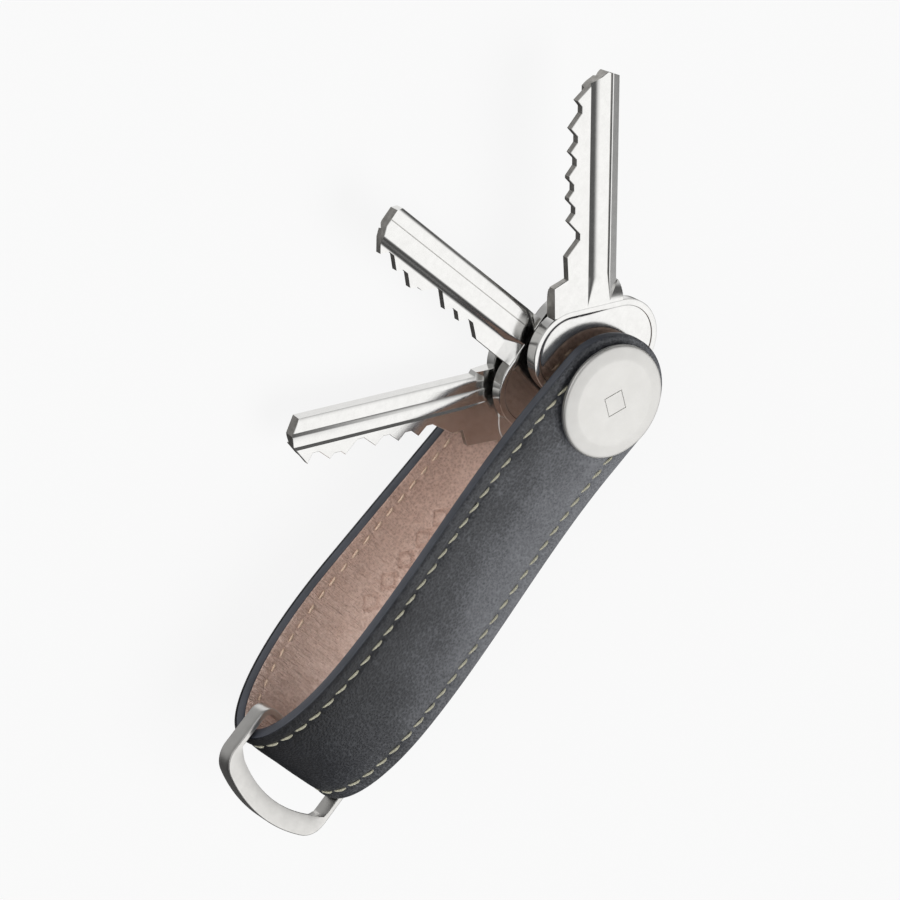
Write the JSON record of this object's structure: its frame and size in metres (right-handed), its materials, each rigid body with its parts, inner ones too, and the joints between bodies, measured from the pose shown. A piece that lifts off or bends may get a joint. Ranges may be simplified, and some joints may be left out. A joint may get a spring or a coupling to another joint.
{
  "type": "key organiser",
  "caption": "Leather key organiser: a folded strap clamped by a screw post that flat keys swing out on, with a flat D-ring held in the fold.",
  "frame": {"origin": "on the axis of the screw post, at the outer face of the back screw", "axes": "+Z along the post towards the front cap; the strap runs from the post towards -X and folds back there; +Y across the strap, on the side where the keys are swung out"},
  "size_m": [0.1132, 0.0566, 0.0212],
  "materials": {
    "leather_outer": "fine grain, semi-matte",
    "core_board": "painted edge",
    "leather_lining": "metallic sheen, fine grain",
    "thread_outer": "waxed thread",
    "thread_lining": "waxed thread",
    "cap_metal": "bead blasted",
    "post_metal": "turned",
    "washer_polymer": "matte",
    "spacer_polymer": "matte",
    "ring_metal": "satin brushed",
    "key_metal": "polished nickel plate"
  },
  "bodies": {
    "strap": {"strap_outer": "leather_outer", "strap_core": "core_board", "strap_lining": "leather_lining", "stitch_outer": "thread_outer", "stitch_lining": "thread_lining", "front_eyelet": "post_metal", "back_eyelet": "post_metal", "front_cap": "cap_metal", "front_washer": "washer_polymer", "post": "post_metal", "spacer_front": "spacer_polymer", "spacer_upper": "spacer_polymer", "spacer_lower": "spacer_polymer", "spacer_back": "spacer_polymer"},
    "back_washer": {"back_washer": "washer_polymer"},
    "back_screw": {"back_screw": "cap_metal"},
    "key_front": {"key_front": "key_metal"},
    "key_middle": {"key_middle": "key_metal"},
    "key_back": {"key_back": "key_metal"},
    "d_ring": {"d_ring": "ring_metal"}
  },
  "joints": [
    {"name": "key_front_swing", "type": "hinge", "parent": "strap", "child": "key_front", "pos_m": [0, 0, 0.01263], "axis": [0, 0, 1], "continuous": true},
    {"name": "key_middle_swing", "type": "hinge", "parent": "strap", "child": "key_middle", "pos_m": [0, 0, 0.00925], "axis": [0, 0, 1], "continuous": true},
    {"name": "key_back_swing", "type": "hinge", "parent": "strap", "child": "key_back", "pos_m": [0, 0, 0.00588], "axis": [0, 0, 1], "continuous": true},
    {"name": "ring_swing", "type": "hinge", "parent": "strap", "child": "d_ring", "pos_m": [-0.06745, -0.0002, 0.0132], "axis": [0.0872, 0.9962, 0], "range_deg": [-80, 82]},
    {"name": "screw_travel", "type": "slide", "parent": "strap", "child": "back_washer", "axis": [0, 0, -1], "range_m": [0, 0.008]},
    {"name": "screw_turn", "type": "hinge", "parent": "back_washer", "child": "back_screw", "pos_m": [0, 0, 0], "axis": [0, 0, -1], "range_deg": [0, 4114]}
  ],
  "couplings": [
    {"joint": "screw_travel", "follows": "screw_turn", "m_per_rad": 0.00011141}
  ]
}
